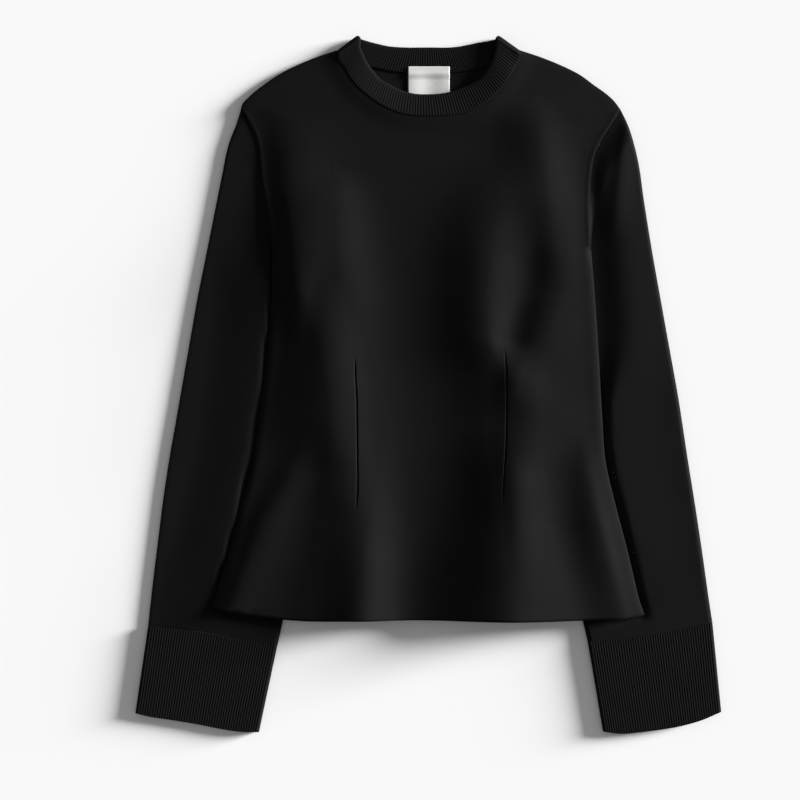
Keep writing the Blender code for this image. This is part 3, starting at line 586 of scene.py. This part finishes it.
def knitMaterial(name, values):
    # Compact knit: fine level rows, small stitches along them and a little unevenness
    surface, start, shader = newMaterial(name)
    across, down, uv = splitUv(start)
    cloud = start.node("ShaderNodeTexNoise", {"noise_dimensions": "3D"}, i0=uv, Scale=38.0, Detail=3.0)
    fuzz = start.node("ShaderNodeTexNoise", {"noise_dimensions": "3D"}, i0=uv, Scale=900.0, Detail=2.0)
    rows = (down * (2 * math.pi / values["rowPitch"]) + cloud * 0.8).wave()
    lean = (across * (2 * math.pi / values["stitchPitch"]) + rows * 1.6).wave()
    height = rows * values["rowDepth"] + lean * values["stitchDepth"] + fuzz * values["fuzzDepth"]
    mix = start.node("ShaderNodeMix", {"data_type": "RGBA"}, outlet=2, i0=cloud * 0.5 + rows * 0.3,
                     i6=values["colour"], i7=values["lighter"])
    bump = start.node("ShaderNodeBump", None, Height=height, Strength=1.0, Distance=1.0)
    start.tree.links.new(mix.socket, shader.inputs["Base Color"])
    start.tree.links.new(bump.socket, shader.inputs["Normal"])
    rough = values["roughness"] + (fuzz - 0.5) * 0.2
    start.tree.links.new(rough.socket, shader.inputs["Roughness"])
    shader.inputs["Specular IOR Level"].default_value = values["specular"]
    shader.inputs["Sheen Weight"].default_value = values["sheen"]
    shader.inputs["Sheen Roughness"].default_value = 0.5
    return surface


def ribMaterial(name, values):
    # Rib knit: the ribs are shape, the small stitches along each rib are bump
    surface, start, shader = newMaterial(name)
    across, down, uv = splitUv(start)
    fuzz = start.node("ShaderNodeTexNoise", {"noise_dimensions": "3D"}, i0=uv, Scale=1100.0, Detail=2.0)
    cloud = start.node("ShaderNodeTexNoise", {"noise_dimensions": "3D"}, i0=uv, Scale=45.0, Detail=2.0)
    stitches = (down * (2 * math.pi / values["stitchPitch"]) + fuzz * 0.6).wave()
    height = stitches * values["stitchDepth"] + fuzz * values["fuzzDepth"]
    mix = start.node("ShaderNodeMix", {"data_type": "RGBA"}, outlet=2, i0=cloud * 0.7,
                     i6=values["colour"], i7=values["lighter"])
    bump = start.node("ShaderNodeBump", None, Height=height, Strength=1.0, Distance=1.0)
    start.tree.links.new(mix.socket, shader.inputs["Base Color"])
    start.tree.links.new(bump.socket, shader.inputs["Normal"])
    rough = values["roughness"] + (fuzz - 0.5) * 0.2
    start.tree.links.new(rough.socket, shader.inputs["Roughness"])
    shader.inputs["Specular IOR Level"].default_value = values["specular"]
    shader.inputs["Sheen Weight"].default_value = values["sheen"]
    shader.inputs["Sheen Roughness"].default_value = 0.5
    return surface


def satinMaterial(name, values):
    # Woven satin ribbon: fine threads across, a soft shine
    surface, start, shader = newMaterial(name)
    across, down, uv = splitUv(start)
    cloud = start.node("ShaderNodeTexNoise", {"noise_dimensions": "3D"}, i0=uv, Scale=120.0, Detail=3.0)
    threads = (down * (2 * math.pi / values["threadPitch"])).wave()
    warp = (across * (2 * math.pi / values["threadPitch"])).wave()
    mix = start.node("ShaderNodeMix", {"data_type": "RGBA"}, outlet=2, i0=cloud * 0.6,
                     i6=values["colour"], i7=values["shade"])
    bump = start.node("ShaderNodeBump", None, Height=(threads + warp * 0.4) * values["threadDepth"],
                      Strength=1.0, Distance=1.0)
    start.tree.links.new(mix.socket, shader.inputs["Base Color"])
    start.tree.links.new(bump.socket, shader.inputs["Normal"])
    rough = values["roughness"] + (cloud - 0.5) * 0.2
    start.tree.links.new(rough.socket, shader.inputs["Roughness"])
    shader.inputs["Specular IOR Level"].default_value = 0.4
    return surface


def addWall(piece, thickness):
    wall = piece.modifiers.new("wall", "SOLIDIFY")
    wall.thickness = thickness * 0.001
    wall.offset = -1.0
    wall.use_even_offset = False


panels = {
    "lowerRows": 112,
    "stepParts": 5,
    "frontColumns": [40, 44, 44, 40],
    "backColumns": [24, 26, 26, 24],
    "backRows": 112,
}


def buildPanels(cloth):
    sideTurn = rounding(sizes["sideRoll"], 8)
    guideSteps = [0.0, 0.25, 0.5, 0.75, 1.0, 1.5, 2.4]
    shares = list(np.linspace(0.0, sizes["pitShare"], panels["lowerRows"], endpoint=False))
    rows = panelPlan(shares, panels["frontColumns"], [sideTurn, guideSteps, [0.0], guideSteps],
                     [guideSteps[::-1], [0.0], guideSteps[::-1], sideTurn[::-1]], frontNeck, 0.0)
    height = frontHeight(rows[..., 0], rows[..., 1])
    points = toFrame(np.dstack([rows, height]))
    front = finishPiece("front", gridMesh(points, planUv(points, 0.0)), cloth, upward)
    addWall(front, sizes["wall"])
    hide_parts("front_panel")
    frontTop = rows[-1]
    shares = list(np.linspace(0.0, sizes["pitShare"], panels["backRows"], endpoint=False))
    rows = panelPlan(shares, panels["backColumns"], [sideTurn, [0.0, 3.0, 6.0], [0.0], [0.0]],
                     [[0.0], [0.0], [6.0, 3.0, 0.0], sideTurn[::-1]], backNeck, sizes["hemBackRise"])
    height = backHeight(rows[..., 0], rows[..., 1])
    points = toFrame(np.dstack([rows, height]))
    back = finishPiece("back", gridMesh(points, planUv(points, 0.0)), cloth, downward)
    addWall(back, sizes["wall"])
    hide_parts("back_panel")
    return frontTop, rows[-1]


def tubePoints(outerRings, innerRings):
    return toFrame(np.array(outerRings + innerRings[::-1] + outerRings[:1]))


def ring(topPlan, top, lowPlan, low):
    # Over the top from the outer fold to the inner one, and back under it
    upper = np.column_stack([topPlan, top])
    lower = np.column_stack([lowPlan, low])
    return np.concatenate([upper, lower[-2:0:-1], upper[:1]])


def foldInset(reach, width, thickness, roll=sizes["foldRoll"]):
    near = thickness * np.maximum(0.0, 1 - reach / roll)
    far = thickness * np.maximum(0.0, 1 - (width - reach) / roll)
    return reach + near - far


def sleeveTop(x, y, side):
    line = sideLines[side]
    beyond = (xAt(line, y) - x) if side == 0 else (x - xAt(line, y))
    outside = (beyond > 0) | (y > yAt(hemLine, x))
    edge = np.minimum(distanceTo(line, x, y), distanceTo(hemLine, x, y))
    armhole = distanceTo(armholeLines[side], x, y)
    away = 0.0 if side == 0 else 30.0 * ease((250.0 - y) / 130.0)
    clear = np.where(outside, np.minimum(edge, armhole + away), 0.0)
    reach, fall, run = sleevePuffs[side][:3]
    fall = fall + (0.0 if side == 0 else 0.3 * ease((400.0 - y) / 100.0))
    reach = reach + sleevePuffs[side][3] * ease((sizes["underarmEnd"] - y) / sizes["underarmRun"])
    rise = 1 - np.exp(-(clear / reach) ** 2) - fall * ease(np.maximum(0.0, clear - reach) / run)
    beside = sizes["cuffHeight"] + (sizes["sleeveBeside"][side] - sizes["cuffHeight"]) * ease(
        (sizes["cuffRampTop"] - y) / sizes["cuffRampRun"])
    if side == 0:
        beside = beside + (sizes["armholeBeside"] - beside) * ease((290.0 - y) / 60.0)

    return sizes["sleeveUnder"] + (beside - sizes["sleeveUnder"]) * rise + foldHeight(sleeveFolds, x, y)


sleeves = {"rows": 100, "endRows": 36, "lean": -10.0, "flat": {"sleeve_left": (0.300, 0.560), "sleeve_right": (0.300, 0.560)}}


def buildSleeve(name, side, outer, inner, cuffSeam, cloth):
    outer, inner, cuffSeam = smoothLine(outer), smoothLine(inner), smoothLine(cuffSeam)
    arm = armholePoints(side)
    steps = armholeDistances(armholeLines[side][::-1])
    turnEnd = len(steps) - 1 - (len(pitSteps) - 1)
    run = np.gradient(arm, steps, axis=0)
    away = np.stack([-run[:, 1], run[:, 0]], axis=-1) * (1 if side == 0 else -1)
    armTop = frontHeight(arm[:, 0], arm[:, 1])
    armLow = backHeight(arm[:, 0], arm[:, 1])
    for end in (0, -1):
        armTop[end] = armLow[end] = (armTop[end] + armLow[end]) / 2
    outerRings, innerRings = [], []
    fold = sizes["foldRoll"]
    for share in np.concatenate([[0.0], np.linspace(0.0012, 0.9, sleeves["rows"]),
                                 np.linspace(0.9, 1.0, sleeves["endRows"])[1:]]):
        a = along(outer, share * runningLength(outer)[-1])
        b = along(inner, share * runningLength(inner)[-1])
        width = np.hypot(*(b - a))
        inside = fold + (steps - fold) * (width - 2 * fold) / (steps[-1] - 2 * fold)
        reach = np.where(steps < fold, steps, np.where(steps > steps[-1] - fold, width - (steps[-1] - steps), inside))
        chord = arm[0] + (arm[-1] - arm[0]) * (steps / steps[-1])[:, None]
        bend = (arm - chord) * max(0.0, (share - 0.65) / 0.35) ** 2 - away * sizes["sleeveTuck"] * (share == 1.0)
        turn = np.minimum(turned(reach, fold), turned(width - reach, fold))
        mid = sizes["outerFoldMid"] + (sizes["innerFoldMid"] - sizes["outerFoldMid"]) * reach / width
        late = 0.94 + 0.02 * steps / steps[-1]
        near = ease((share - late) / (1 - late))
        plans = []
        for place in (reach, foldInset(reach, width, sizes["wall"])):
            straight = a + (b - a) * (place / width)[:, None]
            lowEnd = along(cuffSeam, place / width * runningLength(cuffSeam)[-1])
            plans.append(straight + bend + (lowEnd - straight) * max(0.0, 1 - share / 0.17) ** 2)
        top = mid + (sleeveTop(plans[0][:, 0], plans[0][:, 1], side) - mid) * turn
        low = mid - mid * turn
        top = top + (armTop - sizes["sleeveTuck"] - top) * near
        low = low + (armLow + sizes["sleeveTuck"] - low) * near
        outerRings.append(ring(plans[0], top, plans[0], low))
        innerRings.append(ring(plans[1], top - sizes["wall"] * turn, plans[1], low + sizes["wall"] * turn))
    points = tubePoints(outerRings, innerRings)
    uv = planUv(points, sleeves["lean"] * (1 if side == 0 else -1))
    piece = finishPiece(name.replace("_", "") + "Cloth", gridMesh(points, uv), cloth, upwardOnTop)
    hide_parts(name)


cuffs = {"ribPoints": 8, "rows": 14, "flat": (0.262, 0.094)}


def buildCuff(name, outer, inner, seam, end, cloth):
    outer, inner, seam, end = [smoothLine(line) for line in (outer, inner, seam, end)]
    outerRings, innerRings = [], []
    roll = sizes["cuffRoll"]
    fold = rounding(roll, 8)[:-1]
    ribs = int(sizes["cuffRibs"])
    for share in np.concatenate([[0.0], np.linspace(0.008, 0.992, cuffs["rows"]), [1.0]]):
        a = along(outer, share * runningLength(outer)[-1])
        b = along(inner, share * runningLength(inner)[-1])
        width = np.hypot(*(b - a))
        faces = []
        for height in (sizes["cuffHeight"], 0.0):
            flat = np.linspace(roll, width - roll, ribs * cuffs["ribPoints"] + 1)
            reach = np.concatenate([fold, flat, width - np.array(fold[::-1])])
            turn = np.minimum(turned(reach, roll), turned(width - reach, roll))
            mid = sizes["outerFoldMid"] + (sizes["innerFoldMid"] - sizes["outerFoldMid"]) * reach / width * (share == 1.0)
            wave = 0.5 - 0.5 * np.cos(2 * np.pi * (reach - roll) / (width - 2 * roll) * ribs)
            face = mid + (height - mid) * turn
            for place in (reach, foldInset(reach, width, sizes["cuffWall"], roll)):
                high = along(seam, place / width * runningLength(seam)[-1])
                foot = along(end, place / width * runningLength(end)[-1])
                plan = foot + (high - foot) * share
                plan[:, 1] += sizes["seamGap"] * (share == 1.0)
                faces.append(plan)
            faces.append(face - wave * sizes["cuffRibHeight"] * turn * (1 if height else 0))
            faces.append(face - sizes["cuffWall"] * turn * (1 if height else -1))
        outerRings.append(ring(faces[0], faces[2], faces[4], faces[6]))
        innerRings.append(ring(faces[1], faces[3], faces[5], faces[7]))
    points = tubePoints(outerRings, innerRings)
    piece = finishPiece(name.replace("_", "") + "Rib", gridMesh(points, clothUv(points)), cloth, upwardOnTop)
    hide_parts(name)


band = {"ribPoints": 8, "flat": (0.42, 0.054)}


def bandRun(seam, edge, count):
    share = np.linspace(0.0, 1.0, count + 1)
    return along(seam, share * runningLength(seam)[-1]), along(edge, share * runningLength(edge)[-1])


def bandTurn(seam, peak, side):
    seam, peak = np.array(seam, float), np.array(peak, float)
    run = (peak - seam) / np.hypot(*(peak - seam))
    out = np.array([run[1], -run[0]]) * (1 if side == 0 else -1)
    inset = sizes["bandTurnRadius"] + sizes["bandWall"] / 2
    return seam - out * inset, peak - out * inset, out


def bandProfile(seam, edge, midSeam, midEdge, across, wave, faces):
    # Round the band's thickness at one station: out along one face, over the edge, back along the other
    line = []
    for share in (0.0, 0.03, 0.1, 0.3, 0.55, 0.8, 0.9, 0.95, 0.98):
        half = 0.86 if share == 0.0 else (0.97 if share == 0.03 else np.sqrt(max(0.0, 1 - max(0.0, (share - 0.88) / 0.12) ** 2)))
        line.append((share, half))
    ringLine = [(s, h, 1) for s, h in line] + [(1.0, 0.0, 0)] + [(s, h, -1) for s, h in line[::-1]]
    out = []
    for share, half, face in ringLine:
        plan = seam + (edge - seam) * share
        mid = midSeam + (midEdge - midSeam) * share
        reach = half * sizes["bandWall"] / 2
        if face and faces[0 if face > 0 else 1]:
            reach += (wave - 0.5) * sizes["ribHeight"] * min(1.0, half * 1.2) * ease(share / 0.05)
        out.append([plan[0] + across[0] * reach * face, plan[1] + across[1] * reach * face, mid + across[2] * reach * face])
    return out


def neckRun(topRow, turns):
    first = np.argmin(np.hypot(*(topRow - np.array(frontNeckLeft[0])).T))
    last = np.argmin(np.hypot(*(topRow - np.array(frontNeckRight[-1])).T))
    far = topRow[first + 1:last]
    start, end = turns[0][0], turns[1][0]
    keep = (np.hypot(*(far - start).T) > 2.5) & (np.hypot(*(far - end).T) > 2.5)
    keep &= (far[:, 1] > start[1] + 1.0)
    return np.concatenate([start[None], far[keep], end[None]])


def buildNeckband(frontTop, backTop, cloth):
    turns = [bandTurn(frontNeckLeft[0], peakLeft, 0), bandTurn(frontNeckRight[-1], peakRight, 1)]
    frontSeam = neckRun(frontTop, turns)
    backSeam = neckRun(backTop, turns)
    frontEdge = np.concatenate([turns[0][1][None], smoothLine(bandFrontEdge[1:-1]), turns[1][1][None]])
    backEdge = np.concatenate([turns[0][1][None], smoothLine(bandBackEdge[1:-1]), turns[1][1][None]])
    low = sizes["bandWall"] / 2
    high = low + 2 * sizes["bandTurnRadius"]
    parts = band["ribPoints"]
    stations = []
    count = int(sizes["bandFrontRibs"]) * parts
    seams, edges = bandRun(frontSeam, frontEdge, count)
    seamTop = frontHeight(seams[:, 0], seams[:, 1]) - sizes["wall"] / 2
    phase = 0
    for k, (seam, edge) in enumerate(zip(seams, edges)):
        share = k / count
        corner = min(1.0, min(share, 1 - share) / 0.06)
        inward = (edge - seam) / np.hypot(*(edge - seam))
        seamMid = high + (seamTop[k] - high) * corner
        edgeMid = high + (sizes["bandEdgeHeight"] - high) * ease(min(share, 1 - share) / 0.4)
        wave = 0.5 + 0.5 * np.cos(2 * np.pi * phase / parts)
        tuck = sizes["seamGap"] - sizes["bandTuck"] * (1 - corner)
        stations.append(bandProfile(seam + inward * tuck, edge, seamMid, edgeMid, (0, 0, 1), wave, (1, 1)))
        phase += 1
    for side in (1, 0):
        start, peak, out = turns[side]
        inward = (peak - start) / np.hypot(*(peak - start))
        steps = int(sizes["bandTurnRibs"]) * parts
        for k in range(1, steps):
            angle = np.pi / 2 - np.pi * k / steps
            if side == 0:
                angle = -angle
            across = (out[0] * np.cos(angle), out[1] * np.cos(angle), np.sin(angle))
            shift = out * sizes["bandTurnRadius"] * np.cos(angle)
            mid = low + sizes["bandTurnRadius"] * (1 + np.sin(angle))
            wave = 0.5 + 0.5 * np.cos(2 * np.pi * phase / parts)
            stations.append(bandProfile(start - inward * sizes["bandTuck"] + shift, peak + shift, mid, mid, across,
                                        wave, (1, 1)))
            phase += 1
        if side == 0:
            break
        seams, edges = bandRun(backSeam, backEdge, int(sizes["bandBackRibs"]) * parts)
        for share, seam, edge in zip(np.linspace(1.0, 0.0, len(seams)), seams[::-1], edges[::-1]):
            tuck = sizes["seamGap"] - sizes["bandTuck"] * (1 - min(1.0, min(share, 1 - share) / 0.06))
            inward = (edge - seam) / np.hypot(*(edge - seam))
            wave = 0.5 + 0.5 * np.cos(2 * np.pi * phase / parts)
            stations.append(bandProfile(seam + inward * tuck, edge, low, low, (0, 0, -1), wave, (0, 1)))
            phase += 1
    loop = np.array(stations)
    loop[..., 2] = np.maximum(loop[..., 2], 0.0)
    loop = np.concatenate([loop, loop[:1]])
    loop = np.concatenate([loop, loop[:, :1]], axis=1)
    points = toFrame(loop)
    uv = clothUv(points)[..., ::-1]
    piece = finishPiece("neckRib", gridMesh(points, uv), cloth, upwardOnTop)
    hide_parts("neckband")


label = {"columns": 48, "rows": 40, "waveHeight": 0.35, "flat": (0.042, 0.036)}


def buildLabel(cloth):
    x, y = np.meshgrid(np.linspace(sizes["labelLeft"], sizes["labelRight"], label["columns"]),
                       np.linspace(sizes["labelTop"] + sizes["labelLength"], sizes["labelTop"], label["rows"]))
    onBand = ease((80.0 - y) / 7.0)
    height = sizes["wall"] + (sizes["bandWall"] + sizes["ribHeight"] / 2 - sizes["wall"]) * onBand
    height += sizes["labelClearance"] + sizes["labelWall"]
    loose = ease((y - sizes["labelTop"]) / 14.0)
    height += label["waveHeight"] * loose * (1 + np.sin((x - 408) * 0.19 + 0.6))
    points = toFrame(np.dstack([x, y, height]))
    piece = finishPiece("neckLabel", gridMesh(points, clothUv(points)), cloth, upward)
    addWall(piece, sizes["labelWall"] * 0.8)
    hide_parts("label")


studio = {
    "floor": (0.86, 0.86, 0.86, 1.0),
    "sky": 0.28,
    "sun": 14.2,
    "sunHeight": 10.5,
    "sunTurn": 16.0,
    "sunSpread": 17.0,
    "lens": 100.0,
    "view": 0.8,
}


def buildStudio():
    bpy.ops.mesh.primitive_plane_add(size=12.0, location=(0, 0, -0.0004))
    floor = bpy.context.object
    floor.name = "floor"
    surface, start, shader = newMaterial("paleFloor")
    shader.inputs["Base Color"].default_value = studio["floor"]
    shader.inputs["Roughness"].default_value = 0.9
    shader.inputs["Specular IOR Level"].default_value = 0.0
    floor.data.materials.append(surface)
    world = bpy.data.worlds.new("studio")
    bpy.context.scene.world = world
    world.use_nodes = True
    world.node_tree.nodes["Background"].inputs["Color"].default_value = (1, 1, 1, 1)
    world.node_tree.nodes["Background"].inputs["Strength"].default_value = studio["sky"]
    sun = bpy.data.lights.new("softKey", "SUN")
    sun.energy = studio["sun"]
    sun.angle = math.radians(studio["sunSpread"])
    lamp = bpy.data.objects.new("softKey", sun)
    height, turn = math.radians(studio["sunHeight"]), math.radians(studio["sunTurn"])
    toLight = Vector((math.cos(height) * math.cos(turn), math.cos(height) * math.sin(turn), math.sin(height)))
    lamp.rotation_euler = toLight.to_track_quat("Z", "Y").to_euler()
    bpy.context.scene.collection.objects.link(lamp)
    lens = bpy.data.cameras.new("overhead")
    lens.lens = studio["lens"]
    lens.sensor_width = 36.0
    lens.clip_end = 50.0
    camera = bpy.data.objects.new("overhead", lens)
    reach = studio["view"] * studio["lens"] / 36.0
    camera.location = ((400 - sizes["centreX"]) * 0.001, (sizes["centreY"] - 400) * 0.001, reach + 0.004)
    bpy.context.scene.collection.objects.link(camera)
    bpy.context.scene.camera = camera
    bpy.context.scene.view_settings.view_transform = "Standard"
    bpy.context.scene.view_settings.look = "None"
    print("studio made")


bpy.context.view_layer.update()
cloth = knitMaterial("compactKnit", knit)
ribCloth = ribMaterial("ribKnit", rib)
ribbon = satinMaterial("labelSatin", satin)
armholeSteps = finer(armholeSteps, panels["stepParts"])
pitSteps = finer(pitSteps, panels["stepParts"])
frontTop, backTop = buildPanels(cloth)
buildSleeve("sleeve_left", 0, sleeveOuterLeft, sleeveInnerLeft, cuffSeamLeft, cloth)
buildSleeve("sleeve_right", 1, sleeveOuterRight, sleeveInnerRight, cuffSeamRight, cloth)
buildCuff("cuff_left", cuffOuterLeft, cuffInnerLeft, cuffSeamLeft, cuffEndLeft, ribCloth)
buildCuff("cuff_right", cuffOuterRight, cuffInnerRight, cuffSeamRight, cuffEndRight, ribCloth)
buildNeckband(frontTop, backTop, ribCloth)
buildLabel(ribbon)
buildStudio()
